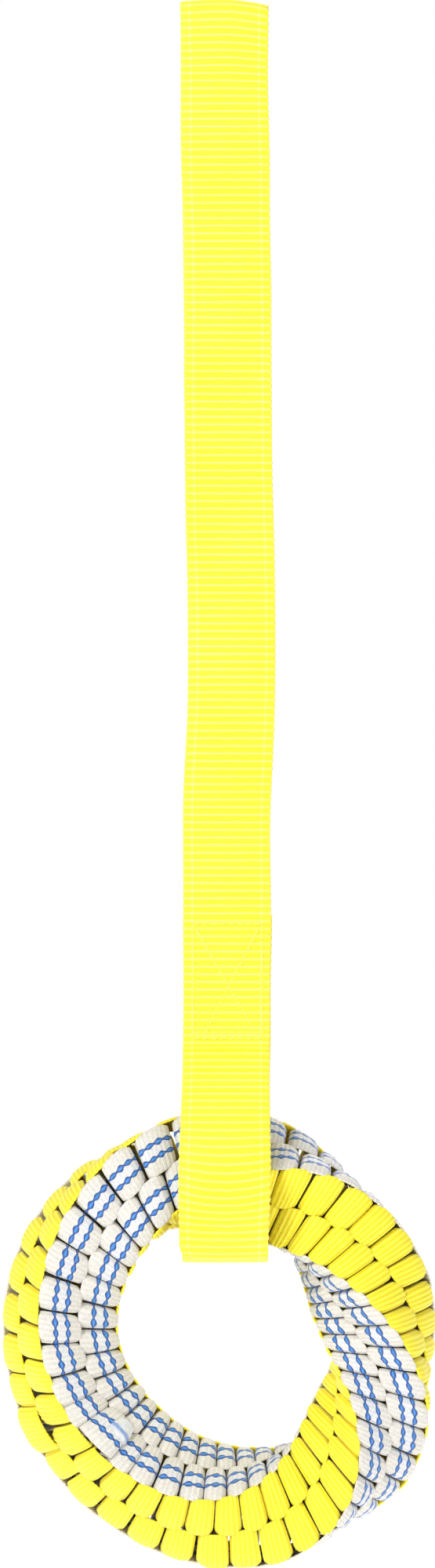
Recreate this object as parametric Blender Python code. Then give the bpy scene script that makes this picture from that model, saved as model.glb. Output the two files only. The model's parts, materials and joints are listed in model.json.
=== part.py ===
"""Gymnastics hand ring hung in the eye of a long webbing sling.

The ring is a four-strand square braid of flat webbing, bent round and closed on itself.
Every strand crosses the braid once a level: over the first strand it meets and under the
second, then round the outside as one loop and back.  Its section turns once on the way
round.  The sling is one length of wider webbing: an eye that the ring hangs in, a sewn
block, and a long doubled run up to the fold that it hangs by.

Frame: the origin is the inside of the sling's top fold, +Z is up, +X is right and the
front faces -Y.  Metres throughout.
"""

import math

import bmesh
import bpy
from mathutils import Vector

# ---------------------------------------------------------------- driving dimensions
CLEARANCE = 0.0003               # gap kept between pieces that touch

# Sling webbing
SLING_WIDTH = 0.038
SLING_THICK = 0.0016
LAYER_PITCH = SLING_THICK + CLEARANCE   # between the layers of the sewn block
FOLD_RADIUS = 0.0058             # middle of the webbing round the top fold
FOLD_FACETS = 7
BLOCK_TOP = -0.397               # sewn block, where three layers lie together
BLOCK_BOTTOM = -0.449
SPREAD_HEIGHT = 0.065            # over which the two runs open out above the block
SLING_BOW = 0.0034               # how far the run bows sideways, and where
SLING_BOW_Z = -0.285
SLING_BOW_SPAN = 0.110
SLING_X = -0.001
RUN_STEPS = 12

# The eye's outline about the ring's pivot, (y, z), from the back round to the front
EYE_POINTS = (
    (0.0332, 0.002), (0.0331, -0.012), (0.0280, -0.0285), (0.0160, -0.0350), (0.0, -0.0358),
    (-0.0170, -0.0338), (-0.0285, -0.0270), (-0.0331, -0.013), (-0.0332, 0.002),
)
EYE_SHOULDER = (0.0250, 0.0255)  # half width and height of the eye's sloping sides
EYE_NECK = (0.0035, 0.0545)      # and of its neck, just under the sewn block
SPLINE_STEPS = 3

# Stitching
STITCH_INSET = 0.003             # from the block's edges to the rows of stitches
STITCH_ROW = 0.0012
THREAD_THICK = 0.0006

# Ring centreline: a circle with slow waves, (count round the ring, size, angle of its crest)
RING_CENTRE = Vector((-0.0015, 0.0, -0.579))
RING_RADIUS = 0.0708
RADIUS_WAVES = ((2, 0.0039, math.radians(-115.0)), (3, 0.0009, math.radians(-161.0)))

PIVOT_DROP = 0.0022              # ring's pivot below the centreline's top, for its curve in the eye

# Turn of the braid's section, which is one whole turn with waves on it
TURN_START = math.radians(-251.4)
TURN_WAVES = (
    (1, math.radians(37.0), math.radians(101.0)),
    (2, math.radians(7.5), math.radians(-20.0)),
    (3, math.radians(3.5), math.radians(-13.0)),
)

# Spacing of the loops, in loops round the ring
LOOPS = 38
LOOP_START = -0.22
LOOP_WAVES = ((1, 1.06, math.radians(66.0)), (2, 0.17, math.radians(35.0)))
JOIN_LOOP = 21                   # where the strands' ends meet

# Braid webbing, and its path across the section
STRAND_THICK = 0.0012
SEAM_GAP = 0.0015                # half the gap between two strands inside the braid
BODY_HALF = 0.0170               # half the braid's width, without the loops
LOOP_SEAM = 0.00025              # the same two, where the strand is a loop outside
LOOP_EDGE = 0.0182
LOOP_REACH = 0.0197              # middle of the webbing in a loop
TURN_IN = 0.0178                 # where a crossing bends into its loop
STEP_HALF = 0.0012               # half the run of the step from over to under
TUCK_START = 0.0120              # where the strand's first cut end lies inside
TUCK_END = 0.0135                # and its last


# ---------------------------------------------------------------- ring and braid frame
def wave_sum(waves, angle):
    return sum(size * math.cos(count * angle - crest) for count, size, crest in waves)


def loops_at(angle):
    """Loops counted round the ring, up to an angle."""
    return LOOPS * angle / math.tau + LOOP_START + wave_sum(LOOP_WAVES, angle)


def angle_at(loops):
    """Ring angle at a number of loops: the inverse of loops_at."""
    angle = math.tau * loops / LOOPS
    for _ in range(20):
        angle += math.tau * (loops - loops_at(angle)) / LOOPS
    return angle


def ring_point(east, north, loops):
    """Point at (east, north) in the braid's section, so many loops round the ring."""
    angle = angle_at(loops)
    turn = angle + TURN_START + wave_sum(TURN_WAVES, angle)
    radius = RING_RADIUS + wave_sum(RADIUS_WAVES, angle)
    radius += east * math.cos(turn) - north * math.sin(turn)
    front = east * math.sin(turn) + north * math.cos(turn)
    arm = Vector((math.cos(angle), 0.0, math.sin(angle)))
    return RING_CENTRE + radius * arm + Vector((0.0, -front, 0.0))


# ---------------------------------------------------------------- webbing
def unit_normals(points, across, mitre_limit=1.35):
    """Normal of a ribbon at each point, lengthened where the ribbon bends."""
    normals = []
    last = len(points) - 1
    for i, point in enumerate(points):
        before = point - points[i - 1] if i > 0 else points[1] - point
        after = points[i + 1] - point if i < last else before
        normal_before = before.cross(across[i]).normalized()
        normal_after = after.cross(across[i]).normalized()
        middle = (normal_before + normal_after).normalized()
        mitre = 1.0 / max(middle.dot(normal_after), 1.0 / mitre_limit)
        normals.append(middle * mitre)
    return normals


def ribbon(name, left, right, thickness, material):
    """One closed flat ribbon between two edge lines, with square ends."""
    across = [b - a for a, b in zip(left, right)]
    left_normals = unit_normals(left, across)
    right_normals = unit_normals(right, across)
    half = thickness / 2.0
    bm = bmesh.new()
    rings = []
    for a, b, na, nb in zip(left, right, left_normals, right_normals):
        corners = (a + half * na, b + half * nb, b - half * nb, a - half * na)
        rings.append([bm.verts.new(corner) for corner in corners])
    for ring, following in zip(rings, rings[1:]):
        for i in range(4):
            j = (i + 1) % 4
            bm.faces.new((ring[i], ring[j], following[j], following[i]))
    bm.faces.new(reversed(rings[0]))
    bm.faces.new(rings[-1])
    return finish_object(name, bm, material)


def finish_object(name, bm, material):
    bmesh.ops.recalc_face_normals(bm, faces=bm.faces)
    mesh = bpy.data.meshes.new(name)
    bm.to_mesh(mesh)
    bm.free()
    mesh.materials.append(material)
    piece = bpy.data.objects.new(name, mesh)
    bpy.context.scene.collection.objects.link(piece)
    return piece


def fabric(name, colour, roughness):
    material = bpy.data.materials.new(name)
    material.use_nodes = True
    shader = material.node_tree.nodes["Principled BSDF"]
    shader.inputs["Base Color"].default_value = (*colour, 1.0)
    shader.inputs["Roughness"].default_value = roughness
    shader.inputs["Metallic"].default_value = 0.0
    return material


# ---------------------------------------------------------------- braid strands
def crossing(first, last):
    """One level's path, (distance along the run, quarter loops), with its loop after it."""
    start = -TUCK_START if first else -TURN_IN
    path = [(start, 1.0), (-STEP_HALF, 1.0), (STEP_HALF, 0.0), (TURN_IN, 0.0)]
    path += [(LOOP_REACH, 0.85), (LOOP_REACH, 2.15)]
    if last:
        path += [(TURN_IN, 3.0), (TUCK_END, 3.0)]
    return path


def strand(name, run, side, even_way, material):
    """One strand: run is the axis it crosses along, side the half of the braid it is in."""
    left, right = [], []
    first_level = 2 * JOIN_LOOP
    last_level = first_level + 2 * LOOPS - 1
    for level in range(first_level, last_level + 1):
        way = even_way if level % 2 == 0 else -even_way
        for along, quarter in crossing(level == first_level, level == last_level):
            is_loop = along >= LOOP_REACH
            inner = side * (LOOP_SEAM if is_loop else SEAM_GAP)
            outer = side * (LOOP_EDGE if is_loop else BODY_HALF)
            loops = level / 2.0 + quarter / 4.0
            for edge, points in ((inner, left), (outer, right)):
                place = (edge, along * way) if run == "north" else (along * way, edge)
                points.append(ring_point(*place, loops))
    return ribbon(name, left, right, STRAND_THICK, material)


def make_ring(yellow, white):
    strand("yellow_strand_a", "north", -1, 1, yellow)
    strand("yellow_strand_b", "north", 1, -1, yellow)
    strand("white_strand_a", "east", -1, -1, white)
    strand("white_strand_b", "east", 1, 1, white)


# ---------------------------------------------------------------- sling
def ring_pivot():
    """Height of the middle of the stretch of braid that sits in the eye."""
    top = RING_CENTRE.z + RING_RADIUS + wave_sum(RADIUS_WAVES, math.pi / 2.0)
    return top - PIVOT_DROP


def sling_x(z):
    return SLING_X + SLING_BOW * math.exp(-((z - SLING_BOW_Z) / SLING_BOW_SPAN) ** 2)


def smooth_line(points, steps):
    """Catmull-Rom line through (y, z) points."""
    line = []
    padded = [points[0], *points, points[-1]]
    for p0, p1, p2, p3 in zip(padded, padded[1:], padded[2:], padded[3:]):
        for step in range(steps):
            t = step / steps
            line.append(tuple(
                0.5 * (2 * b + (c - a) * t + (2 * a - 5 * b + 4 * c - d) * t * t
                       + (3 * b - a - 3 * c + d) * t ** 3)
                for a, b, c, d in zip(p0, p1, p2, p3)))
    line.append(points[-1])
    return line


def eye_line():
    """The eye from its end in the block, down the back, and up the front."""
    pivot = ring_pivot()
    neck_y, neck_z = EYE_NECK
    side_y, side_z = EYE_SHOULDER
    outline = [(neck_y, neck_z), (side_y, side_z), *EYE_POINTS]
    outline += [(-side_y, side_z), (-neck_y - LAYER_PITCH, neck_z)]
    line = [(y, z + pivot) for y, z in smooth_line(outline, SPLINE_STEPS)]
    return [(0.0, BLOCK_TOP), (0.0, BLOCK_BOTTOM), *line, (-LAYER_PITCH, BLOCK_BOTTOM)]


def run_y(z, block_y, side):
    """Depth of one run of the sling: against the block below, apart from the other above."""
    rise = min(max((z - BLOCK_TOP) / SPREAD_HEIGHT, 0.0), 1.0)
    ease = rise * rise * (3.0 - 2.0 * rise)
    return block_y + (side * FOLD_RADIUS - block_y) * ease


def sling_line():
    """Middle of the sling webbing, end to end, as (y, z)."""
    fold_z = SLING_THICK / 2.0 - FOLD_RADIUS * math.cos(math.pi / 2.0 / FOLD_FACETS)
    heights = [BLOCK_TOP + SPREAD_HEIGHT * i / 4.0 for i in range(4)]
    run_bottom = BLOCK_TOP + SPREAD_HEIGHT
    heights += [run_bottom + (fold_z - run_bottom) * i / RUN_STEPS for i in range(RUN_STEPS)]
    line = eye_line()
    line += [(run_y(z, -LAYER_PITCH, -1), z) for z in heights]
    for facet in range(FOLD_FACETS + 1):
        angle = math.pi * facet / FOLD_FACETS
        line.append((-FOLD_RADIUS * math.cos(angle), fold_z + FOLD_RADIUS * math.sin(angle)))
    line += [(run_y(z, LAYER_PITCH, 1), z) for z in reversed(heights)]
    line.append((LAYER_PITCH, BLOCK_BOTTOM))
    return line


def make_sling(material):
    half = SLING_WIDTH / 2.0
    left = [Vector((sling_x(z) - half, y, z)) for y, z in sling_line()]
    right = [Vector((sling_x(z) + half, y, z)) for y, z in sling_line()]
    return ribbon("sling", left, right, SLING_THICK, material)


# ---------------------------------------------------------------- stitching
def make_box_stitch(name, side, material):
    """A sewn box with a cross in it, as one flat band of thread."""
    near = LAYER_PITCH + SLING_THICK / 2.0 + CLEARANCE
    half_x = SLING_WIDTH / 2.0 - STITCH_INSET
    half_z = (BLOCK_TOP - BLOCK_BOTTOM) / 2.0 - STITCH_INSET
    middle = Vector((sling_x((BLOCK_TOP + BLOCK_BOTTOM) / 2.0), 0.0,
                     (BLOCK_TOP + BLOCK_BOTTOM) / 2.0))
    in_x, in_z = half_x - STITCH_ROW, half_z - STITCH_ROW
    corner_x, corner_z = in_x - STITCH_ROW, in_z - STITCH_ROW
    apex_x, apex_z = STITCH_ROW * half_x / half_z + STITCH_ROW, STITCH_ROW * 1.8
    bm = bmesh.new()

    def vertex(x, z):
        return bm.verts.new(middle + Vector((x, side * near, z)))

    quarters = ((1, 1), (-1, 1), (-1, -1), (1, -1))
    outer = [vertex(sx * half_x, sz * half_z) for sx, sz in quarters]
    level = [vertex(sx * corner_x, sz * in_z) for sx, sz in quarters]
    upright = [vertex(sx * in_x, sz * corner_z) for sx, sz in quarters]
    apex = [vertex(0.0, apex_z), vertex(-apex_x, 0.0), vertex(0.0, -apex_z), vertex(apex_x, 0.0)]
    bm.faces.new(apex)
    for i in range(4):
        j = (i + 1) % 4
        base = level if i % 2 == 0 else upright
        bm.faces.new((outer[i], outer[j], base[j], base[i]))
        before = apex[(i + 3) % 4]
        first, second = (upright[i], level[i]) if i % 2 == 0 else (level[i], upright[i])
        bm.faces.new((outer[i], second, apex[i], before, first))
    extruded = bmesh.ops.extrude_face_region(bm, geom=bm.faces[:])
    moved = [item for item in extruded["geom"] if isinstance(item, bmesh.types.BMVert)]
    bmesh.ops.translate(bm, verts=moved, vec=(0.0, side * THREAD_THICK, 0.0))
    return finish_object(name, bm, material)


# ---------------------------------------------------------------- build
def clear_scene():
    for old in list(bpy.data.objects):
        bpy.data.objects.remove(old, do_unlink=True)


def main():
    clear_scene()
    make_sling(fabric("sling_webbing", (0.95, 0.90, 0.03), 0.6))
    thread = fabric("stitching_thread", (0.95, 0.93, 0.25), 0.5)
    make_box_stitch("needle_thread", -1, thread)
    make_box_stitch("bobbin_thread", 1, thread)
    make_ring(fabric("yellow_webbing", (0.95, 0.86, 0.02), 0.6),
              fabric("striped_webbing", (0.83, 0.81, 0.74), 0.6))


main()
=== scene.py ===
"""Looks of the braided hand ring and its webbing sling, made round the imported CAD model.

The ring's four strands and the sling are woven ribbons with their ribs modelled.  They follow
the same interlacing as the CAD solids that they stand for.  Lengths are in metres unless a
name ends in _MM; a webbing's own coordinates, across and along it, are in millimetres.
"""

import json
import math
from typing import NamedTuple

import bpy
import numpy as np
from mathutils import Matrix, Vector


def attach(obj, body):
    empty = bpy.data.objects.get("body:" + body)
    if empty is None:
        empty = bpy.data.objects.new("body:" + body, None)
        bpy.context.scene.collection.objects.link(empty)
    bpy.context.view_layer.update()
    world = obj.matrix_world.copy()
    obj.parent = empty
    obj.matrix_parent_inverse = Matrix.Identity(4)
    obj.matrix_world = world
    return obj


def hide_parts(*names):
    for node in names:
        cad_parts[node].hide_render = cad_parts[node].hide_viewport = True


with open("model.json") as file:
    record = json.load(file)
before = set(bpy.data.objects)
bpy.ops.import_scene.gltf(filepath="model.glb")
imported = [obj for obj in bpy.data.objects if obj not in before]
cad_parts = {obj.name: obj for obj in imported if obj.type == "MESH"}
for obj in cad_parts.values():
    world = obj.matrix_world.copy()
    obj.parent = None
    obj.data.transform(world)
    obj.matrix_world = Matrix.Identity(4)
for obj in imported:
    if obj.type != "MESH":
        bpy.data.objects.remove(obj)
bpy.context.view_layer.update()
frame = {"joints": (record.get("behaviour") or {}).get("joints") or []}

MM = 0.001
RIGHT, FRONT, UP = np.eye(3) * np.array([1.0, -1.0, 1.0])

# ---------------------------------------------------------------- camera and room
CAMERA_DISTANCE = 1.3
CAMERA_X = -0.0036
CAMERA_Z = -0.3385
FRAME_HEIGHT = 0.680             # what the picture's height covers at the ring's plane
SENSOR_HEIGHT = 24.0
WORLD_STRENGTH = 0.55            # its light on the part; behind the part it shows as white
FLOOR_Z = -0.95
FLOOR_REACH = 12.0
FLOOR_GLOW = 0.49
LIGHT_AIM = (0.0, 0.0, -0.45)
# The lights' names, places, sizes and powers in watts
LIGHTS = (
    ("key", (-0.9, -1.1, 0.5), 0.6, 20.0),
    ("fill", (1.2, -1.3, -0.3), 0.9, 6.5),
    ("back", (0.6, 1.6, 0.3), 0.9, 11.0),
)

# ---------------------------------------------------------------- ring, as in the CAD
# Waves are (count round the ring, size, angle of a crest)
RING_CENTRE = np.array([-0.0015, 0.0, -0.579])
RING_RADIUS = 0.0708
RADIUS_WAVES = ((2, 0.0039, math.radians(-115.0)), (3, 0.0009, math.radians(-161.0)))
TURN_START = math.radians(-251.4)
TURN_WAVES = (
    (1, math.radians(37.0), math.radians(101.0)),
    (2, math.radians(7.5), math.radians(-20.0)),
    (3, math.radians(3.5), math.radians(-13.0)),
)
LOOPS = 38                       # in one of the braid's columns
LEVELS = 2 * LOOPS               # crossings of one strand, each with a loop after it
LOOP_START = -0.22
LOOP_WAVES = ((1, 1.06, math.radians(66.0)), (2, 0.17, math.radians(35.0)))
JOIN_LOOP = 21

# ---------------------------------------------------------------- braid webbing
STRAND_THICK = 0.0013
SEAM_GAP = 0.0014                # half the gap between two crossings inside the braid
BODY_HALF = 0.0170               # half the braid's width, without the loops
STEP_HALF = 0.0016               # half the run of a crossing's step from over to under
LOOP_ROOT = 0.0145               # where a crossing ends and its loop starts
LOOP_REACH = 0.0205
TAIL = 0.003                     # how far the last crossing turns back into the braid
RUN_POINTS, STEP_POINTS, ARC_POINTS = 6, 7, 60
LOOP_SQUARE = 3.5                # squareness of a loop's outline, 2 being an ellipse
LOOP_EASE = 0.45                 # share of a loop's rise that changes it from crossing to loop
SEAM_EDGE = (0.0011, -0.0006)    # a loop's inner edge at its root and at its crest
CORNER_EDGE = (0.0172, 0.0189)   # and its outer edge
CROWN_SEAM = 0.0008              # how far the loop's crest falls towards either edge
CROWN_CORNER = 0.0020
CROWN_POWER = 2.5
MIDDLE = 1.5                     # quarter loops from a level to the middle of its loop
NOMINAL_HALF = 1.6               # half a loop's length, near enough to find its spacing
TIGHT_SPACING = 0.00294          # quarter loop at which a loop is as long as it should be
SPACING_POWER = 0.05             # how strongly a loop shortens where the loops are wider apart
LOOP_LENGTH = 1.80               # half a loop's length there, in quarter loops
LOOP_CLEAR = 0.00066             # half the webbing with its clearance
# How the loops differ: reach, half length, shift and tilt in quarter loops, edges
LOOP_SPREAD = np.array([0.00025, 0.03, 0.07, 0.06, 0.00018])
RIB_MM = 2.1
RIB_STEPS = 4
CROSSING_STRIDE = 5              # of a crossing's rows of points only every fifth is kept
STRAND_HALF_MM = 9.2
STRIPE_AT_MM = 2.7
BEAD_MM = 4.2
BEAD_HALF_MM = 0.9
BEAD_HEIGHT = 0.00020
# How ribs vary along a strand, as (size, rows of points to a change)
RIB_STRENGTH = 0.9
RIB_STRENGTH_CHANGE = (0.7, 17)
RIB_SLANT = (0.42, 23)
RIB_BOW = (0.10, 9)
YELLOW_RIB = 0.00013
STRIPED_RIB = 0.00009
YELLOW_COLUMNS = np.array([-1, -0.93, -0.8, -0.6, -0.4, -0.2, 0, 0.2, 0.4, 0.6, 0.8, 0.93, 1.0])
STRIPED_COLUMNS = np.array([-1, -0.93, -0.7, -0.4, -0.29, -0.18, 0, 0.18, 0.29, 0.4, 0.7, 0.93, 1.0])
EDGE_THINNING = 0.75             # how much of its thickness a webbing's edge loses
EDGE_POWER = 8

# Slack loops at the join, by level: (extra reach, extra half length, shift), the last two in
# quarter loops, with the loops either side of them pushed away
YELLOW_BULGE = {75: (0.0022, 0.75, -0.1), 73: (0.0, -0.10, -0.40), 1: (0.0, -0.10, 0.35)}
WHITE_BULGE = {1: (0.0028, 1.20, -0.30), 75: (0.0, -0.15, -0.75), 3: (0.0, -0.12, 0.50)}

MELT_LEVEL = 1                   # the slack white loop, which the melted end lies on
MELT_STAGES = (1.45, 2.80)       # where it lies round that loop, in radians
MELT_COLUMNS = (-1.00, 0.05)     # and across it
MELT_GRID = (40, 24)
MELT_HEIGHT = 0.0006
MELT_SUNK = -0.0004              # its surface beyond its outline, inside the loop
MELT_THICK = 0.0005
MELT_SQUARE = 3.5                # squareness of its outline
MELT_FILL = 0.93                 # share of its patch that it fills
MELT_RIPPLE = 0.00016


class Strand(NamedTuple):
    """One of the braid's four working strands."""

    node: str
    run: str                     # axis of the braid's section that its crossings lie along
    side: int                    # half of the section that it keeps to
    even_way: int                # its way across at even levels
    striped: bool
    bulges: dict


STRANDS = (
    Strand("yellow_strand_a", "north", -1, 1, False, {}),
    Strand("yellow_strand_b", "north", 1, -1, False, YELLOW_BULGE),
    Strand("white_strand_a", "east", -1, -1, True, {}),
    Strand("white_strand_b", "east", 1, 1, True, WHITE_BULGE),
)
MELTED_STRAND = STRANDS[3]
FIRST_STRAND_SEED = 11

# ---------------------------------------------------------------- sling, as in the CAD
SLING_WIDTH = 0.0377
SLING_THICK = 0.0016
SLING_RIB_MM = 3.3
SLING_RIB = 0.00020
SLING_RIB_OUT = 0.00016          # how far a rib stands out at the webbing's edges
SLING_COLUMNS = 25
EDGE_CROWDING = 0.55             # how much closer the columns lie towards the edges
LAYER_PITCH = 0.0019
FOLD_RADIUS = 0.0058
BLOCK_TOP = -0.3955
BLOCK_BOTTOM = -0.4525
SPREAD_HEIGHT = 0.065            # over which the two runs open out above the block
SLING_X = -0.0008
# How far the run bows sideways, as (size, height, span)
SLING_BOWS = ((0.0034, -0.285, 0.110), (0.0010, -0.130, 0.060), (-0.0012, -0.340, 0.035),
              (0.0008, -0.440, 0.060))
EYE_PIVOT_Z = frame["joints"][0]["pos_m"][2]
# The eye's outline as (y, z) from the ring's hinge
EYE_BACK = ((0.0332, 0.002), (0.0331, -0.012), (0.0280, -0.0285), (0.0160, -0.0350))
EYE_FRONT = ((0.0, -0.0361), (-0.0170, -0.0336), (-0.0300, -0.0283), (-0.0331, -0.015),
             (-0.0334, 0.002))
EYE_SHOULDER = (0.0250, 0.0255)  # half width and height of the eye's sloping sides
EYE_NECK = (0.0035, 0.0545)
SLING_STEP = 0.0003
RUN_STEPS, FOLD_STEPS = 160, 24
SMOOTHING = 0.0014               # rounding of the sling's bends
CUP = 0.0026                     # how far the middle of the eye's front stands proud
CUP_FROM_Y, CUP_OVER_Y = 0.012, 0.015
CUP_TOP, CUP_OVER_Z = 0.03, 0.02
SMILE = 0.0026                   # and how far it sags below its edges
SMILE_Z = -0.508
SMILE_SPAN = 0.016
EYE_SPREAD = 0.0006              # widening of the webbing where the ring pulls it flat
EYE_SPREAD_Z = 0.507             # how far its middle lies below the top fold
EYE_SPREAD_SPAN = 0.018
UNDER_Z, UNDER_OVER = -0.534, 0.004     # where the eye turns under the ring
UNDER_NARROWING = 0.0006
UNDER_SHIFT = 0.0007
FOLD_DROOP = (0.0007, 0.0024)    # how far the top fold's left and right ends hang down
FOLD_DROOP_POWER = 1.6
FOLD_DROOP_REACH = 0.030
# Slow changes along the sling: (size, rows of points to a change)
WANDER = (0.00035, 60)
WIDTH_CHANGE = (0.00025, 40)
RIPPLE = (0.0005, 45)
RIPPLE_START, RIPPLE_OVER = 0.01, 0.05  # the fold and the block hold the webbing flat

# ---------------------------------------------------------------- box stitching
STITCH_LENGTH = 0.0033
STITCH_GAP = 0.0006
STITCH_RINGS = 7
STITCH_SIDES = 8
STITCH_CAP = ((0, 1, 2, 3), (0, 3, 4, 7), (4, 5, 6, 7))
STITCH_TURN = 0.03               # how far a stitch may lie off its row, in radians
STITCH_SINK = 0.0006             # how deep its ends go into the webbing
STITCH_TAPER = 0.45
THREAD_RADIUS = 0.00046
THREAD_FLATNESS = 1.15
THREAD_PROUD = 0.75              # height of its middle above the webbing, in radii
BOX_MIDDLE = (0.0007, -0.4236)
BOX_HALF = (0.0149, 0.0248)
BOX_ROW = 0.0024                 # between the double rows at the top and bottom
# Where the cross's two lines start and end short of the box's corners
CROSS_FALLING = (0.0012, 0.0028)
CROSS_RISING = (0.0016, 0.0052)

# ---------------------------------------------------------------- colours
# Pairs are the darkest and the lightest that a patch of webbing is
# The sling's grooves are darker and more orange: painted shade between its ribs
SLING_GROOVE_SHADE = ((0.88, 0.70, 0.003), (0.96, 0.80, 0.008))
SLING_CREST = ((0.99, 0.90, 0.015), (1.0, 0.95, 0.06))
# Pale dots and line on the ribs as painted highlight, and the pale yarn near each edge, the
# webbing's own
SLING_YARN_AND_HIGHLIGHT = (1.0, 0.98, 0.36)
# Orange along the sling's rounded edges: painted shade
SLING_EDGE_SHADE = (0.98, 0.72, 0.10)
THREAD_TWIST = ((0.97, 0.89, 0.05), (1.0, 0.96, 0.20))
# The braid's yellow grooves are darker: painted shade between its ribs
YELLOW_GROOVE_SHADE = ((0.84, 0.66, 0.004), (0.92, 0.77, 0.008))
YELLOW_CREST = ((0.97, 0.88, 0.03), (1.0, 0.93, 0.12))
# Darker in the sunk dots between the ribs: painted shade
YELLOW_SUNK_SHADE = (0.84, 0.62, 0.004)
# Darker along a strand's edges: painted shade of the creases there
YELLOW_EDGE_SHADE = (0.93, 0.72, 0.03)
WHITE_CREAM = ((0.54, 0.51, 0.45), (0.83, 0.81, 0.76))
WHITE_COOL = ((0.54, 0.56, 0.60), (0.82, 0.83, 0.86))
# Blue of the beads, lightest in their middles as painted highlight
STRIPE_BLUE = ((0.030, 0.105, 0.38), (0.10, 0.36, 0.78))
STRIPE_OUTLINE = (0.015, 0.04, 0.15)
MELT_CLOUD = ((0.52, 0.55, 0.60), (0.88, 0.88, 0.86))
MELT_BLUE = (0.07, 0.22, 0.60)
FLOOR_GRAIN = ((0.92, 0.92, 0.92), (0.95, 0.95, 0.95))


# ---------------------------------------------------------------- shared curves
def smoothstep(t):
    return t * t * (3.0 - 2.0 * t)


def slow_noise(rng, count, spacing):
    """Smooth noise of about -1 to 1, with one random value for every so many rows."""
    knots = rng.uniform(-1.0, 1.0, count // spacing + 4)
    at = np.arange(count) / spacing
    cell = at.astype(int)
    t = smoothstep(at - cell)
    return knots[cell] * (1.0 - t) + knots[cell + 1] * t


def slow_change(rng, count, size_and_spacing):
    """A column of slow noise of a given size."""
    size, spacing = size_and_spacing
    return slow_noise(rng, count, spacing)[:, None] * size


def distances(line):
    """Distance along a line of points to each of them."""
    steps = np.linalg.norm(np.diff(line, axis=0), axis=1)
    return np.concatenate([[0.0], np.cumsum(steps)])


def resampled(points, travelled, stations):
    """The rows of an array of points, read off at other distances along it."""
    flat = points.reshape(len(points), -1)
    read = [np.interp(stations, travelled, flat[:, i]) for i in range(flat.shape[1])]
    return np.stack(read, axis=1).reshape(len(stations), *points.shape[1:])


# ---------------------------------------------------------------- ring and braid frame
def wave_sum(waves, angle):
    return sum(size * np.cos(count * angle - crest) for count, size, crest in waves)


def loops_at(angle):
    return LOOPS * angle / math.tau + LOOP_START + wave_sum(LOOP_WAVES, angle)


ANGLE_TABLE = np.linspace(-1.0, 3.0 * math.tau, 40001)
LOOP_TABLE = loops_at(ANGLE_TABLE)
SLOPE_TABLE = np.gradient(ANGLE_TABLE, LOOP_TABLE)


def angle_at(loops):
    return np.interp(loops, LOOP_TABLE, ANGLE_TABLE)


def section(east, north, angle):
    """Distance out from the centreline and to the front, of a point in the braid's section."""
    turn = angle + TURN_START + wave_sum(TURN_WAVES, angle)
    out = east * np.cos(turn) - north * np.sin(turn)
    front = east * np.sin(turn) + north * np.cos(turn)
    return out, front


def ring_point(east, north, loops):
    angle = angle_at(loops)
    out, front = section(east, north, angle)
    radius = RING_RADIUS + wave_sum(RADIUS_WAVES, angle) + out
    arm = np.cos(angle)[..., None] * RIGHT + np.sin(angle)[..., None] * UP
    return RING_CENTRE + radius[..., None] * arm + front[..., None] * FRONT


def quarter_spacing(east, north, loops):
    """Length of a quarter loop at a point of the braid."""
    angle = angle_at(loops)
    out, _ = section(east, north, angle)
    radius = RING_RADIUS + wave_sum(RADIUS_WAVES, angle) + out
    return radius * np.interp(loops, LOOP_TABLE, SLOPE_TABLE) / 4.0


# ---------------------------------------------------------------- meshes
def grid_normals(points):
    along = np.gradient(points, axis=0)
    across = np.gradient(points, axis=1)
    normals = np.cross(along, across)
    return normals / np.linalg.norm(normals, axis=2, keepdims=True)


def tube_quads(rings, sides):
    """Faces of a tube whose vertices run ring by ring."""
    ring = np.arange(rings - 1)[:, None] * sides
    corner = np.arange(sides)[None, :]
    following = (corner + 1) % sides
    quads = [ring + corner, ring + following, ring + sides + following, ring + sides + corner]
    return np.stack(quads, axis=-1).reshape(-1, 4)


def ribbon_caps(rows, columns):
    """Faces that close the two ends of a flattened tube."""
    width = 2 * columns
    last = (rows - 1) * width
    caps = []
    for c in range(columns - 1):
        cap = (c, width - 1 - c, width - 2 - c, c + 1)
        caps.append(cap[::-1])
        caps.append(tuple(last + corner for corner in cap))
    return np.array(caps)


def woven_ribbon(name, points, across_mm, along_mm, thickness, relief, material):
    """A closed ribbon about a grid of points, (along, across), with relief on both faces.

    Its map "weave" holds the webbing's own coordinates in millimetres.
    """
    rows, columns = points.shape[:2]
    normals = grid_normals(points)
    reach = np.abs(across_mm) / np.abs(across_mm).max()
    thinned = np.clip(1.0 - EDGE_THINNING * reach ** EDGE_POWER, 0.0, 1.0)
    half = thickness / 2.0 * np.sqrt(thinned)[None, :]
    lift = (half + relief)[..., None]
    front = points + normals * lift
    back = points - normals * lift
    vertices = np.concatenate([front, back[:, ::-1]], axis=1).reshape(-1, 3)
    faces = np.concatenate([tube_quads(rows, 2 * columns), ribbon_caps(rows, columns)])
    u = np.concatenate([across_mm, across_mm[::-1]])
    coords = np.stack(np.broadcast_arrays(u[None, :], along_mm[:, None]), axis=-1)
    return mesh_piece(name, vertices, faces, coords.reshape(-1, 2), material)


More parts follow.
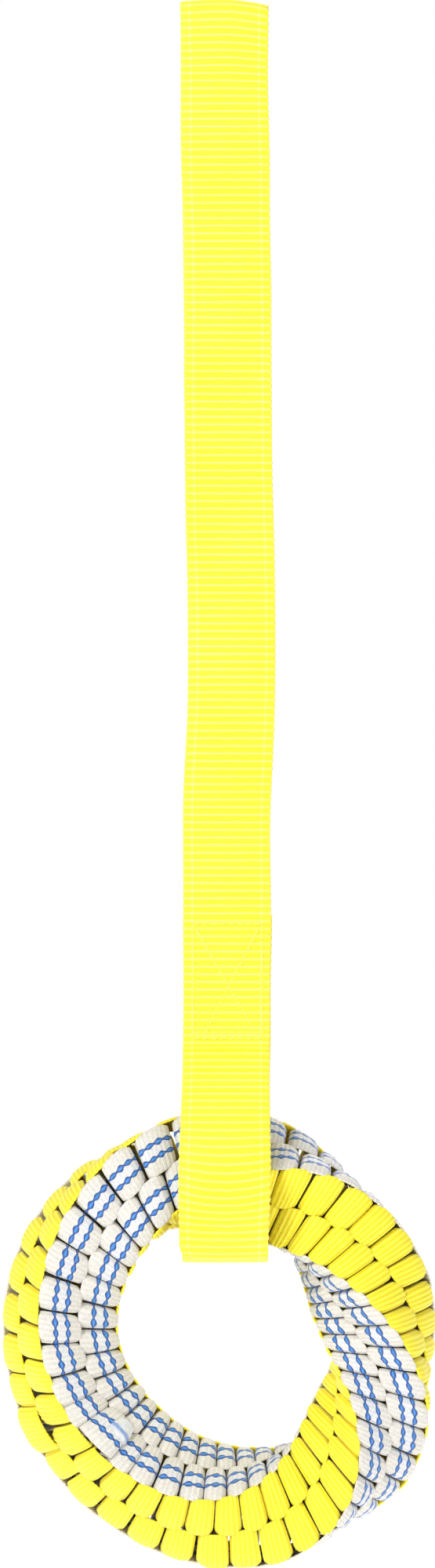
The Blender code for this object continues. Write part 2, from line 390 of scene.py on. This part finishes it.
def mesh_piece(name, vertices, faces, coords, material):
    """A smooth mesh from arrays, with its faces turned outwards."""
    mesh = bpy.data.meshes.new(name)
    corners = faces.reshape(-1)
    mesh.vertices.add(len(vertices))
    mesh.vertices.foreach_set("co", vertices.astype(np.float32).ravel())
    mesh.loops.add(len(corners))
    mesh.loops.foreach_set("vertex_index", corners.astype(np.int32))
    mesh.polygons.add(len(faces))
    mesh.polygons.foreach_set("loop_start", np.arange(0, len(corners), 4, dtype=np.int32))
    layer = mesh.uv_layers.new(name="weave")
    layer.data.foreach_set("uv", coords[corners].astype(np.float32).ravel())
    mesh.update(calc_edges=True)
    mesh.validate()
    if signed_volume(vertices, faces) < 0.0:
        mesh.flip_normals()
    mesh.shade_smooth()
    mesh.materials.append(material)
    piece = bpy.data.objects.new(name, mesh)
    bpy.context.scene.collection.objects.link(piece)
    return piece


def signed_volume(vertices, faces):
    """Six times a closed mesh's volume, below 0 where its faces point in."""
    a, b, c, d = (vertices[faces[:, i]] for i in range(4))
    first = np.einsum("ij,ij->i", a, np.cross(b, c))
    second = np.einsum("ij,ij->i", a, np.cross(c, d))
    return (first + second).sum()


# ---------------------------------------------------------------- strands
def strand_route():
    """A strand's route: (run across the braid, quarter loops, stage of its loop, level) rows.

    A stage goes from 0 to pi round a loop and is 0 on a crossing.
    """
    rows = []
    flat = np.linspace(-LOOP_ROOT, -STEP_HALF, RUN_POINTS)[:-1]
    step = np.linspace(-1.0, 1.0, STEP_POINTS)
    arc = np.linspace(0.0, math.pi, ARC_POINTS)
    for level in range(LEVELS):
        run = flat[2:] if level == 0 else flat
        rows += [(x, 1.0, 0.0, level) for x in run]
        rows += [(STEP_HALF * s, 0.5 - 0.5 * math.sin(s * math.pi / 2.0), 0.0, level) for s in step]
        rows += [(-x, 0.0, 0.0, level) for x in flat[::-1]]
        rows += [(LOOP_ROOT, 0.0, t, level) for t in arc[1:-1]]
    rows += [(x, 2.0 * MIDDLE, math.pi, LEVELS - 1) for x in (LOOP_ROOT, LOOP_ROOT - TAIL)]
    return np.array(rows)


def strand_edges(rise, in_loop, edge_shift):
    """A strand's inner and outer edges, from the middle of the braid's section."""
    inner = SEAM_GAP + (SEAM_EDGE[0] - SEAM_GAP) * in_loop
    inner = inner + (SEAM_EDGE[1] - SEAM_EDGE[0]) * rise ** 2
    outer = BODY_HALF + (CORNER_EDGE[0] - BODY_HALF) * in_loop
    outer = outer + (CORNER_EDGE[1] - CORNER_EDGE[0]) * rise ** 2
    return inner + edge_shift * in_loop, outer + edge_shift * in_loop


def strand_points(route, strand, columns, swell):
    """Grid of a strand's points from its route, for positions -1 to 1 across it."""
    x, quarter, stage, level = (route[:, i][:, None] for i in range(4))
    extra = swell[route[:, 3].astype(int)]
    more_reach, more_length, shift, tilt, edge_shift = (extra[:, i][:, None] for i in range(5))
    absolute = level + 2 * JOIN_LOOP
    way = np.where(absolute % 2 == 0, strand.even_way, -strand.even_way)
    position = columns[None, :]

    rise = np.clip(np.sin(stage), 0.0, 1.0)
    crest = rise ** (2.0 / LOOP_SQUARE)
    swing = -np.sign(np.cos(stage)) * np.abs(np.cos(stage)) ** (2.0 / LOOP_SQUARE)
    in_loop = smoothstep(np.clip(rise / LOOP_EASE, 0.0, 1.0))

    inner, outer = strand_edges(rise, in_loop, edge_shift)
    lateral = strand.side * ((inner + outer) / 2.0 + position * (outer - inner) / 2.0)
    crown = np.where(position > 0.0, CROWN_CORNER, CROWN_SEAM) * np.abs(position) ** CROWN_POWER
    reach = LOOP_REACH - LOOP_ROOT + more_reach
    along = x + np.where(stage > 0.0, reach * crest - crown * crest, 0.0)
    east, north = (lateral, along * way) if strand.run == "north" else (along * way, lateral)
    base = absolute / 2.0

    nominal = base + (MIDDLE + NOMINAL_HALF * swing) / 4.0 + 0.0 * lateral
    spacing = quarter_spacing(east, north, nominal)
    length = LOOP_LENGTH * (TIGHT_SPACING / spacing) ** SPACING_POWER
    length = np.minimum(length, 2.0 - LOOP_CLEAR / spacing) + more_length
    looped = MIDDLE + swing * (MIDDLE * (1.0 - in_loop) + length * in_loop)
    looped = looped + (shift + tilt * position) * crest
    height = np.where(stage > 0.0, looped, quarter)
    return ring_point(east, north, base + height / 4.0)


def with_bulges(swell, bulges):
    for level, bulge in bulges.items():
        swell[level, :3] = bulge
    return swell


def braid_relief(rng, columns, across_mm, along_mm, striped):
    """Ribs across a strand, of uneven height and slant, and the beads of its stripes."""
    rows = len(along_mm)
    strength = RIB_STRENGTH + slow_change(rng, rows, RIB_STRENGTH_CHANGE)
    slant = slow_change(rng, rows, RIB_SLANT) * columns
    slant = slant + slow_change(rng, rows, RIB_BOW) * columns ** 2
    rib_size = STRIPED_RIB if striped else YELLOW_RIB
    relief = rib_size * strength * np.cos(math.tau * (along_mm[:, None] / RIB_MM + slant))
    if striped:
        off = np.abs(across_mm) - STRIPE_AT_MM
        bump = np.exp(-(off / BEAD_HALF_MM) ** 2)[None, :]
        bead = (0.5 + 0.5 * np.cos(math.tau * along_mm / BEAD_MM))[:, None]
        relief = relief + BEAD_HEIGHT * bump * bead
    return relief


def make_strand(strand, material, seed):
    rng = np.random.default_rng(seed)
    columns = STRIPED_COLUMNS if strand.striped else YELLOW_COLUMNS
    spread = np.clip(rng.normal(0.0, 1.0, (LEVELS, len(LOOP_SPREAD))), -2.0, 2.0)
    swell = with_bulges(spread * LOOP_SPREAD, strand.bulges)
    route = strand_route()
    full = strand_points(route, strand, columns, swell)
    travelled = distances(full.mean(axis=1))
    stations = np.arange(0.0, travelled[-1], RIB_MM * MM / RIB_STEPS)
    stage = np.interp(stations, travelled, route[:, 2])
    stations = stations[(stage > 0.0) | (np.arange(len(stations)) % CROSSING_STRIDE == 0)]
    points = resampled(full, travelled, stations)
    along_mm = stations / MM
    across_mm = columns * STRAND_HALF_MM
    relief = braid_relief(rng, columns, across_mm, along_mm, strand.striped)
    piece = woven_ribbon("woven_" + strand.node, points, across_mm, along_mm, STRAND_THICK,
                         relief, material)
    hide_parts(strand.node)
    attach(piece, "hand_ring")


def melt_lift():
    """Height of the melted end's surface over its grid, below 0 outside its outline."""
    t = np.linspace(-1.0, 1.0, MELT_GRID[0])[:, None]
    p = np.linspace(-1.0, 1.0, MELT_GRID[1])[None, :]
    angle = np.arctan2(p, t)
    outline = MELT_FILL + 0.05 * np.sin(3.0 * angle + 0.6) + 0.02 * np.sin(7.0 * angle)
    square = np.abs(t) ** MELT_SQUARE + np.abs(p) ** MELT_SQUARE
    within = square ** (1.0 / MELT_SQUARE) / outline
    ripple = MELT_RIPPLE * np.sin(7.0 * t + 4.0 * p) * np.cos(3.0 * p - t)
    height = MELT_HEIGHT * np.sqrt(np.clip(1.0 - within ** 4, 0.0, 1.0)) + ripple
    return np.where(within < 1.0, height, MELT_SUNK)


def make_melted_end(material):
    """The last strand's cut end, melted flat against the slack white loop."""
    rows = MELT_GRID[0]
    swell = with_bulges(np.zeros((LEVELS, len(LOOP_SPREAD))), MELTED_STRAND.bulges)
    stages = np.linspace(MELT_STAGES[0], MELT_STAGES[1], rows)
    route = np.column_stack([np.full(rows, LOOP_ROOT), np.zeros(rows), stages,
                             np.full(rows, float(MELT_LEVEL))])
    columns = np.linspace(MELT_COLUMNS[0], MELT_COLUMNS[1], MELT_GRID[1])
    points = strand_points(route, MELTED_STRAND, columns, swell)
    normals = grid_normals(points)
    middle_loop = JOIN_LOOP + (MELT_LEVEL / 2.0 + MIDDLE / 4.0)
    inside = ring_point(np.zeros(1), np.zeros(1), np.full(1, middle_loop))
    outward = np.sign((normals * (points - inside)).sum(axis=2).mean())
    points = points + outward * normals * (STRAND_THICK / 2.0 + melt_lift())[..., None]
    piece = woven_ribbon("melted_end", points, columns * STRAND_HALF_MM, stages * 4.0, MELT_THICK,
                         np.zeros(points.shape[:2]), material)
    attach(piece, "hand_ring")


def make_ring(yellow, striped):
    for seed, strand in enumerate(STRANDS, FIRST_STRAND_SEED):
        make_strand(strand, striped if strand.striped else yellow, seed)


# ---------------------------------------------------------------- sling
def sling_x(z):
    return SLING_X + sum(size * np.exp(-((z - at) / span) ** 2) for size, at, span in SLING_BOWS)


def smooth_line(points, steps=12):
    """Catmull-Rom line through (y, z) points."""
    points = np.array([points[0], *points, points[-1]])
    line = []
    for a, b, c, d in zip(points, points[1:], points[2:], points[3:]):
        for t in np.arange(steps) / steps:
            line.append(0.5 * (2 * b + (c - a) * t + (2 * a - 5 * b + 4 * c - d) * t * t
                               + (3 * b - a - 3 * c + d) * t ** 3))
    return [*line, points[-1]]


def run_line(block_y, side):
    """One run of the sling, (y, z), from the block up to the fold."""
    heights = np.linspace(BLOCK_TOP, SLING_THICK / 2.0 - FOLD_RADIUS, RUN_STEPS)
    ease = smoothstep(np.clip((heights - BLOCK_TOP) / SPREAD_HEIGHT, 0.0, 1.0))
    return np.column_stack([block_y + (side * FOLD_RADIUS - block_y) * ease, heights])


def eye_line():
    """The sling's eye, (y, z), from the block's middle layer, round the ring, to its front layer."""
    eye = [EYE_NECK, EYE_SHOULDER, *EYE_BACK, *EYE_FRONT, (-EYE_SHOULDER[0], EYE_SHOULDER[1]),
           (-EYE_NECK[0] - LAYER_PITCH, EYE_NECK[1])]
    return np.array(smooth_line(eye)) + (0.0, EYE_PIVOT_Z)


def sling_line():
    """Middle of the sling webbing from its end inside the block to its end behind it."""
    angles = np.linspace(0.0, math.pi, FOLD_STEPS)[1:-1]
    fold = np.column_stack([-FOLD_RADIUS * np.cos(angles),
                            SLING_THICK / 2.0 - FOLD_RADIUS + FOLD_RADIUS * np.sin(angles)])
    line = np.concatenate([
        [(0.0, BLOCK_TOP), (0.0, BLOCK_BOTTOM)], eye_line(), [(-LAYER_PITCH, BLOCK_BOTTOM)],
        run_line(-LAYER_PITCH, -1), fold, run_line(LAYER_PITCH, 1)[::-1],
        [(LAYER_PITCH, BLOCK_BOTTOM)]])
    return rounded_line(line, SLING_STEP, SMOOTHING)


def rounded_line(line, step, reach):
    """An even line along another, with its bends rounded."""
    travelled = distances(line)
    even = resampled(line, travelled, np.arange(0.0, travelled[-1], step))
    window = np.arange(-3.0 * reach, 3.0 * reach + step, step)
    weight = np.exp(-0.5 * (window / reach) ** 2)
    weight /= weight.sum()
    margin = len(window) // 2
    padded = np.pad(even, ((margin, margin), (0, 0)), mode="edge")
    smooth = np.stack([np.convolve(padded[:, i], weight, mode="valid") for i in range(2)], axis=1)
    return np.concatenate([even[:1], smooth[margin:len(even) - margin], even[-1:]])


def sling_columns():
    """Positions of -1 to 1 across the sling, closer together towards its edges."""
    even = np.linspace(-1.0, 1.0, SLING_COLUMNS)
    return EDGE_CROWDING * np.sin(even * math.pi / 2.0) + (1.0 - EDGE_CROWDING) * even


def sling_points(rng, stations, travelled, line, position, rib):
    """Grid of the sling's points: its line given its width, cupped and sagging as it hangs."""
    y, z = (np.interp(stations, travelled, line[:, i])[:, None] for i in range(2))
    rows = len(stations)
    bulge = 1.0 - position ** 2
    wander = slow_change(rng, rows, WANDER)
    half = SLING_WIDTH / 2.0 + slow_change(rng, rows, WIDTH_CHANGE)
    spread = EYE_SPREAD * np.exp(-((z + EYE_SPREAD_Z) / EYE_SPREAD_SPAN) ** 2)
    half = half + SLING_RIB_OUT * rib + spread
    under = np.clip((UNDER_Z - z) / UNDER_OVER, 0.0, 1.0)
    x = sling_x(z) + position * (half - UNDER_NARROWING * under) + (wander + UNDER_SHIFT * under)

    forward = np.clip((-y - CUP_FROM_Y) / CUP_OVER_Y, 0.0, 1.0)
    low = np.clip((EYE_PIVOT_Z + CUP_TOP - z) / CUP_OVER_Z, 0.0, 1.0)
    y = y - CUP * (forward * low) * bulge
    sag = np.exp(-((z - SMILE_Z) / SMILE_SPAN) ** 2) * (y < 0.0)
    z = z - SMILE * sag * bulge

    ripple = slow_change(rng, rows, RIPPLE)
    below_fold = np.clip((-z - RIPPLE_START) / RIPPLE_OVER, 0.0, 1.0)
    above_block = np.clip((z - BLOCK_TOP) / RIPPLE_OVER, 0.0, 1.0)
    y = y + below_fold * above_block * ripple * position
    end_droop = np.where(position < 0.0, FOLD_DROOP[0], FOLD_DROOP[1])
    droop = end_droop * np.abs(position) ** FOLD_DROOP_POWER
    z = z - droop * np.exp(-(z / FOLD_DROOP_REACH) ** 2)
    return np.stack(np.broadcast_arrays(x, y, z), axis=-1)


def make_sling(material):
    line = sling_line()
    travelled = distances(line)
    stations = np.arange(0.0, travelled[-1], SLING_RIB_MM * MM / RIB_STEPS)
    position = sling_columns()
    rib = np.cos(math.tau * stations / MM / SLING_RIB_MM)[:, None]
    points = sling_points(np.random.default_rng(5), stations, travelled, line, position, rib)
    across_mm = position * SLING_WIDTH / 2.0 / MM
    relief = SLING_RIB * rib * np.ones(len(position))
    piece = woven_ribbon("woven_sling", points, across_mm, stations / MM, SLING_THICK, relief,
                         material)
    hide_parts("sling")
    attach(piece, "hanging_sling")


# ---------------------------------------------------------------- box stitching
def stitch_lines():
    """The sewn box and its cross, as (start, end) pairs of (x, z) about the box's middle."""
    w, h = BOX_HALF
    inner = h - BOX_ROW
    return (
        ((-w, h), (w, h)), ((-w, inner), (w, inner)),
        ((-w, -h), (w, -h)), ((-w, -inner), (w, -inner)),
        ((-w, -h), (-w, h)), ((w, -h), (w, h)),
        ((-w + CROSS_FALLING[0], inner), (w - CROSS_FALLING[1], -inner)),
        ((w - CROSS_RISING[0], inner), (-w + CROSS_RISING[1], -inner)),
    )


def stitch(begin, along, run, side):
    """Vertices, faces and weave coordinates of one stitch, a tube that sinks in at both ends."""
    across = np.array([-along[1], along[0]])
    t = np.linspace(0.0, 1.0, STITCH_RINGS)
    from_middle = np.abs(2.0 * t - 1.0)
    flat = begin[None, :] + along[None, :] * (t * run)[:, None]
    surface = LAYER_PITCH + SLING_THICK / 2.0 + THREAD_RADIUS * THREAD_PROUD
    depth = surface - STITCH_SINK * from_middle ** 3
    radius = THREAD_RADIUS * (1.0 - STITCH_TAPER * from_middle ** 4)
    angle = np.arange(STITCH_SIDES) / STITCH_SIDES * math.tau
    out = radius[:, None] * np.sin(angle)[None, :]
    wide = radius[:, None] * THREAD_FLATNESS * np.cos(angle)[None, :]
    x = BOX_MIDDLE[0] + flat[:, 0][:, None] + across[0] * wide
    z = BOX_MIDDLE[1] + flat[:, 1][:, None] + across[1] * wide
    y = side * (depth[:, None] + out)
    vertices = np.stack([x, y, z], axis=-1).reshape(-1, 3)
    last = (STITCH_RINGS - 1) * STITCH_SIDES
    end_cap = [tuple(last + corner for corner in cap[::-1]) for cap in STITCH_CAP]
    faces = np.concatenate([tube_quads(STITCH_RINGS, STITCH_SIDES), [*STITCH_CAP, *end_cap]])
    if signed_volume(vertices, faces) < 0.0:
        faces = faces[:, ::-1]
    round_mm = (angle / math.tau * 2.0)[None, :]
    coords = np.stack(np.broadcast_arrays(round_mm, (t * run / MM)[:, None]), axis=-1)
    return vertices, faces, coords.reshape(-1, 2)


def stitch_row(rng, start, end, side):
    """The stitches of one line, each a little off it."""
    start, end = np.array(start), np.array(end)
    length = np.linalg.norm(end - start)
    number = max(int(round(length / (STITCH_LENGTH + STITCH_GAP))), 1)
    pitch = length / number
    heading = (end - start) / length
    for i in range(number):
        begin = start + heading * (pitch * i + STITCH_GAP / 2.0)
        turn = rng.normal(0.0, STITCH_TURN)
        along = np.array([heading[0] - turn * heading[1], heading[1] + turn * heading[0]])
        yield stitch(begin, along, pitch - STITCH_GAP, side)


def make_stitches(name, node, side, material, seed):
    rng = np.random.default_rng(seed)
    stitches = [made for start, end in stitch_lines() for made in stitch_row(rng, start, end, side)]
    firsts = np.arange(len(stitches)) * STITCH_RINGS * STITCH_SIDES
    vertices = np.concatenate([made[0] for made in stitches])
    faces = np.concatenate([made[1] + first for made, first in zip(stitches, firsts)])
    coords = np.concatenate([made[2] for made in stitches])
    piece = mesh_piece(name, vertices, faces, coords, material)
    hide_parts(node)
    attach(piece, "hanging_sling")


# ---------------------------------------------------------------- patterns and materials
class Pattern:
    """A number that varies over a surface, written with shader maths nodes."""

    def __init__(self, tree, socket):
        self.tree = tree
        self.socket = socket

    def maths(self, operation, *others, clamp=False):
        node = self.tree.nodes.new("ShaderNodeMath")
        node.operation = operation
        node.use_clamp = clamp
        for place, value in zip(node.inputs, (self, *others)):
            if isinstance(value, Pattern):
                self.tree.links.new(value.socket, place)
            else:
                place.default_value = value
        return Pattern(self.tree, node.outputs[0])

    def __add__(self, other):
        return self.maths("ADD", other)

    def __sub__(self, other):
        return self.maths("SUBTRACT", other)

    def __mul__(self, other):
        return self.maths("MULTIPLY", other)

    def wave(self, pitch, shift=0.0):
        """1 at every multiple of the pitch and 0 half way between."""
        return (self * (math.tau / pitch) + shift * math.tau).maths("COSINE") * 0.5 + 0.5

    def size(self):
        return self.maths("ABSOLUTE")

    def power(self, exponent):
        return self.maths("POWER", exponent)

    def clamped(self):
        return self.maths("ADD", 0.0, clamp=True)

    def below(self, level, soft):
        """1 where the pattern is under a level, falling to 0 over a soft edge."""
        return ((self * -1.0) + level).maths("DIVIDE", soft).maths("ADD", 0.5, clamp=True)


def material_tree(name, roughness, sheen, soft=0.0):
    material = bpy.data.materials.new(name)
    material.use_nodes = True
    tree = material.node_tree
    shader = tree.nodes["Principled BSDF"]
    shader.inputs["Roughness"].default_value = roughness
    shader.inputs["Sheen Weight"].default_value = sheen
    shader.inputs["Sheen Roughness"].default_value = 0.4
    shader.inputs["Specular IOR Level"].default_value = 0.35
    shader.inputs["Subsurface Weight"].default_value = soft
    shader.inputs["Subsurface Radius"].default_value = (1.0, 0.8, 0.4)
    shader.inputs["Subsurface Scale"].default_value = 0.0016
    return material, tree, shader


def weave_coordinates(tree):
    """Patterns of the millimetres across a webbing, from its middle, and along it."""
    source = tree.nodes.new("ShaderNodeUVMap")
    source.uv_map = "weave"
    split = tree.nodes.new("ShaderNodeSeparateXYZ")
    tree.links.new(source.outputs["UV"], split.inputs["Vector"])
    return Pattern(tree, split.outputs["X"]), Pattern(tree, split.outputs["Y"])


def noise(tree, scale, detail=3.0):
    """Noise of 0 to 1, its scale in features to the metre."""
    place = tree.nodes.new("ShaderNodeTexCoord")
    node = tree.nodes.new("ShaderNodeTexNoise")
    node.inputs["Scale"].default_value = scale
    node.inputs["Detail"].default_value = detail
    tree.links.new(place.outputs["Object"], node.inputs["Vector"])
    return Pattern(tree, node.outputs["Fac"])


def blend_colours(tree, factor, first, second):
    """first where the factor is 0 and second where it is 1; each a colour or a socket."""
    node = tree.nodes.new("ShaderNodeMix")
    node.data_type = "RGBA"
    tree.links.new(factor.socket, node.inputs["Factor"])
    for place, colour in ((node.inputs["A"], first), (node.inputs["B"], second)):
        if isinstance(colour, tuple):
            place.default_value = (*colour, 1.0)
        else:
            tree.links.new(colour, place)
    return node.outputs["Result"]


def set_surface(tree, shader, colour, roughness, height):
    """Colour, roughness, and bump from a height in millimetres."""
    tree.links.new(colour, shader.inputs["Base Color"])
    tree.links.new(roughness.socket, shader.inputs["Roughness"])
    node = tree.nodes.new("ShaderNodeBump")
    node.inputs["Distance"].default_value = MM
    node.inputs["Strength"].default_value = 1.0
    tree.links.new(height.socket, node.inputs["Height"])
    tree.links.new(node.outputs["Normal"], shader.inputs["Normal"])


def sling_material():
    """Yellow webbing with a line of pale dots on every rib and a pale yarn near each edge, with
    painted highlight on the ribs and painted shade in the grooves and along the edges.
    """
    material, tree, shader = material_tree("sling_webbing_yellow", 0.5, 0.2, 0.15)
    dot_mm, edge_yarn_mm, edge_mm = 1.4, 14.9, 19.0
    u, v = weave_coordinates(tree)
    wobble = noise(tree, 220.0) * 0.5 - 0.25
    v = v + wobble
    row = v.wave(SLING_RIB_MM)
    dots = (u + wobble).wave(dot_mm) * row.power(3.0)
    line = row.power(9.0)
    low_dots = (u + wobble).wave(dot_mm, 0.5) * v.wave(SLING_RIB_MM, 0.5).power(3.0)
    edge_yarn = (u.size() - edge_yarn_mm).size().below(0.45, 0.5) * row.power(0.5)
    edge = (u.size() * -1.0 + edge_mm).below(0.5, 0.8)
    patches = noise(tree, 30.0)
    groove_shade = blend_colours(tree, patches, *SLING_GROOVE_SHADE)
    crest = blend_colours(tree, patches, *SLING_CREST)
    # darker in the ribs' grooves and lighter on their crests: painted shade and painted highlight
    colour = blend_colours(tree, (row * 1.3 - 0.15).clamped(), groove_shade, crest)
    # the pale dots and lines on the ribs are painted highlight; the pale yarn near each edge is the
    # webbing's own
    pale = dots * 0.36 + line * 0.36 + low_dots * 0.12 + edge_yarn * 0.35
    colour = blend_colours(tree, pale * (patches * 0.5 + 0.7), colour, SLING_YARN_AND_HIGHLIGHT)
    # orange along the rounded edges: painted shade
    colour = blend_colours(tree, edge * 0.6, colour, SLING_EDGE_SHADE)
    fibre = noise(tree, 2500.0, 2.0)
    height = dots * 0.14 + line * 0.08 + low_dots * 0.09 + edge_yarn * 0.10 + fibre * 0.06
    set_surface(tree, shader, colour, patches * 0.2 + 0.42, height)
    return material


def thread_material():
    """Twisted sewing thread."""
    material, tree, shader = material_tree("stitching_thread", 0.4, 0.3)
    twist_mm = 0.6
    u, v = weave_coordinates(tree)
    twist = (v + u * 0.3).wave(twist_mm)
    colour = blend_colours(tree, twist, *THREAD_TWIST)
    set_surface(tree, shader, colour, twist * 0.2 + 0.35, twist * 0.08)
    return material


def yellow_material():
    """Ribbed yellow webbing with sunk dots between its ribs, with painted shade in its grooves, its
    sunk dots and along its edges.
    """
    material, tree, shader = material_tree("braid_webbing_yellow", 0.5, 0.2, 0.3)
    u, v = weave_coordinates(tree)
    wobble = noise(tree, 260.0) * 0.5 - 0.25
    row = (v + wobble).wave(RIB_MM)
    dots = u.wave(0.8) * v.wave(0.7)
    sunk = (u + wobble).wave(1.1) * (v + wobble).wave(RIB_MM, 0.5).power(3.0)
    patches = noise(tree, 90.0)
    groove_shade = blend_colours(tree, patches, *YELLOW_GROOVE_SHADE)
    crest = blend_colours(tree, patches, *YELLOW_CREST)
    # darker in the ribs' grooves, lighter on their crests and raised weave dots: painted shade and
    # painted highlight
    colour = blend_colours(tree, (row * 0.8 + dots * 0.4 - 0.05).clamped(), groove_shade, crest)
    # darker in the sunk dots: painted shade
    colour = blend_colours(tree, sunk * 0.4, colour, YELLOW_SUNK_SHADE)
    edge = (u.size() * -1.0 + STRAND_HALF_MM).below(0.4, 0.6)
    # darker along the edges: painted shade
    colour = blend_colours(tree, edge * 0.4, colour, YELLOW_EDGE_SHADE)
    fibre = noise(tree, 3000.0, 2.0)
    height = dots * 0.08 + row * 0.05 - sunk * 0.12 + fibre * 0.06
    set_surface(tree, shader, colour, patches * 0.2 + 0.42, height)
    return material


def striped_material():
    """Off-white webbing with two lines of blue beads, large and small in turn, with painted
    highlight on its ribs' crests and the beads' middles.
    """
    material, tree, shader = material_tree("braid_webbing_striped", 0.5, 0.3, 0.3)
    u, v = weave_coordinates(tree)
    wobble = noise(tree, 300.0)
    v = v + wobble * 0.8
    u = u + (noise(tree, 420.0) * 0.5 - 0.25)
    row = v.wave(RIB_MM)
    dots = u.wave(0.9) * v.wave(0.9)
    patches = noise(tree, 120.0)
    mottle = noise(tree, 900.0)
    # lighter on the ribs' crests and raised weave dots (painted highlight) and in random mottles
    pale = (row * 0.25 + dots * 0.35 + mottle * 0.9 - 0.15).clamped()
    cream = blend_colours(tree, pale, *WHITE_CREAM)
    cool = blend_colours(tree, pale, *WHITE_COOL)
    between_stripes = u.size().below(2.4, 1.6)
    white = blend_colours(tree, between_stripes * 0.7, cream, cool)
    off = (u.size() - STRIPE_AT_MM).size()
    bead = v.wave(BEAD_MM).power(0.8) * (v.wave(2.0 * BEAD_MM) * 0.25 + 0.70)
    half_width = bead + 0.34
    past_edge = off - half_width
    # each bead lighter in its middle: painted highlight
    bead_centre_highlight = bead * off.below(0.35, 0.7)
    blue = blend_colours(tree, (bead_centre_highlight * 1.1 + mottle * 0.3 - 0.15).clamped(), *STRIPE_BLUE)
    striped = blend_colours(tree, past_edge.below(0.05, 0.12), white, blue)
    outline = (past_edge + 0.04).size().below(0.17, 0.16)
    colour = blend_colours(tree, outline * (patches * 0.5 + 0.4), striped, STRIPE_OUTLINE)
    fibre = noise(tree, 2200.0, 2.0)
    height = dots * 0.12 + row * 0.10 + fibre * 0.14
    set_surface(tree, shader, colour, patches * 0.2 + 0.45, height)
    return material


def melted_material():
    """Webbing melted to a glossy skin, with the blue of one stripe smeared in it."""
    material, tree, shader = material_tree("melted_webbing", 0.12, 0.0, 0.4)
    u, _ = weave_coordinates(tree)
    cloud = noise(tree, 300.0)
    smear = (u.size() + cloud * 1.8 - 0.9 - STRIPE_AT_MM).size().below(0.9, 1.0)
    colour = blend_colours(tree, cloud, *MELT_CLOUD)
    colour = blend_colours(tree, smear * (cloud * 0.6 + 0.45), colour, MELT_BLUE)
    shader.inputs["Coat Weight"].default_value = 0.8
    shader.inputs["Coat Roughness"].default_value = 0.08
    set_surface(tree, shader, colour, cloud * 0.2 + 0.06, cloud * 0.9)
    return material


# ---------------------------------------------------------------- room
def make_camera():
    data = bpy.data.cameras.new("camera")
    data.sensor_fit = "VERTICAL"
    data.sensor_height = SENSOR_HEIGHT
    data.lens = SENSOR_HEIGHT * CAMERA_DISTANCE / FRAME_HEIGHT
    data.clip_start = 0.01
    camera = bpy.data.objects.new("camera", data)
    camera.location = (CAMERA_X, -CAMERA_DISTANCE, CAMERA_Z)
    camera.rotation_euler = (math.radians(90.0), 0.0, 0.0)
    bpy.context.scene.collection.objects.link(camera)
    bpy.context.scene.camera = camera


def make_light(name, place, size, power):
    """A square light that faces the part."""
    data = bpy.data.lights.new(name, "AREA")
    data.size = size
    data.energy = power
    light = bpy.data.objects.new(name, data)
    light.location = place
    light.rotation_euler = (Vector(LIGHT_AIM) - Vector(place)).to_track_quat("-Z", "Y").to_euler()
    bpy.context.scene.collection.objects.link(light)


def make_floor():
    """A pale floor with a faint glow, so that it shows as white as the world behind it."""
    material, tree, shader = material_tree("pale_floor", 0.9, 0.0)
    colour = blend_colours(tree, noise(tree, 20.0), *FLOOR_GRAIN)
    tree.links.new(colour, shader.inputs["Base Color"])
    shader.inputs["Emission Color"].default_value = (1.0, 1.0, 1.0, 1.0)
    shader.inputs["Emission Strength"].default_value = FLOOR_GLOW
    mesh = bpy.data.meshes.new("floor")
    corners = ((-1, -1), (1, -1), (1, 1), (-1, 1))
    mesh.from_pydata([(x * FLOOR_REACH, y * FLOOR_REACH, FLOOR_Z) for x, y in corners], [],
                     [(0, 1, 2, 3)])
    mesh.materials.append(material)
    floor = bpy.data.objects.new("floor", mesh)
    bpy.context.scene.collection.objects.link(floor)


def make_world():
    """A white studio that lights the part less than it shows behind it."""
    world = bpy.data.worlds.new("studio")
    world.use_nodes = True
    tree = world.node_tree
    background = tree.nodes["Background"]
    background.inputs["Color"].default_value = (1.0, 1.0, 1.0, 1.0)
    seen = tree.nodes.new("ShaderNodeLightPath")
    strength = tree.nodes.new("ShaderNodeMapRange")
    tree.links.new(seen.outputs["Is Camera Ray"], strength.inputs["Value"])
    strength.inputs["To Min"].default_value = WORLD_STRENGTH
    strength.inputs["To Max"].default_value = 1.0
    tree.links.new(strength.outputs["Result"], background.inputs["Strength"])
    bpy.context.scene.world = world


def make_room():
    make_world()
    make_floor()
    for light in LIGHTS:
        make_light(*light)


make_camera()
make_room()
make_sling(sling_material())
thread = thread_material()
make_stitches("needle_stitches", "needle_thread", -1, thread, 21)
make_stitches("bobbin_stitches", "bobbin_thread", 1, thread, 22)
make_ring(yellow_material(), striped_material())
make_melted_end(melted_material())
bpy.context.scene.view_settings.view_transform = "Standard"
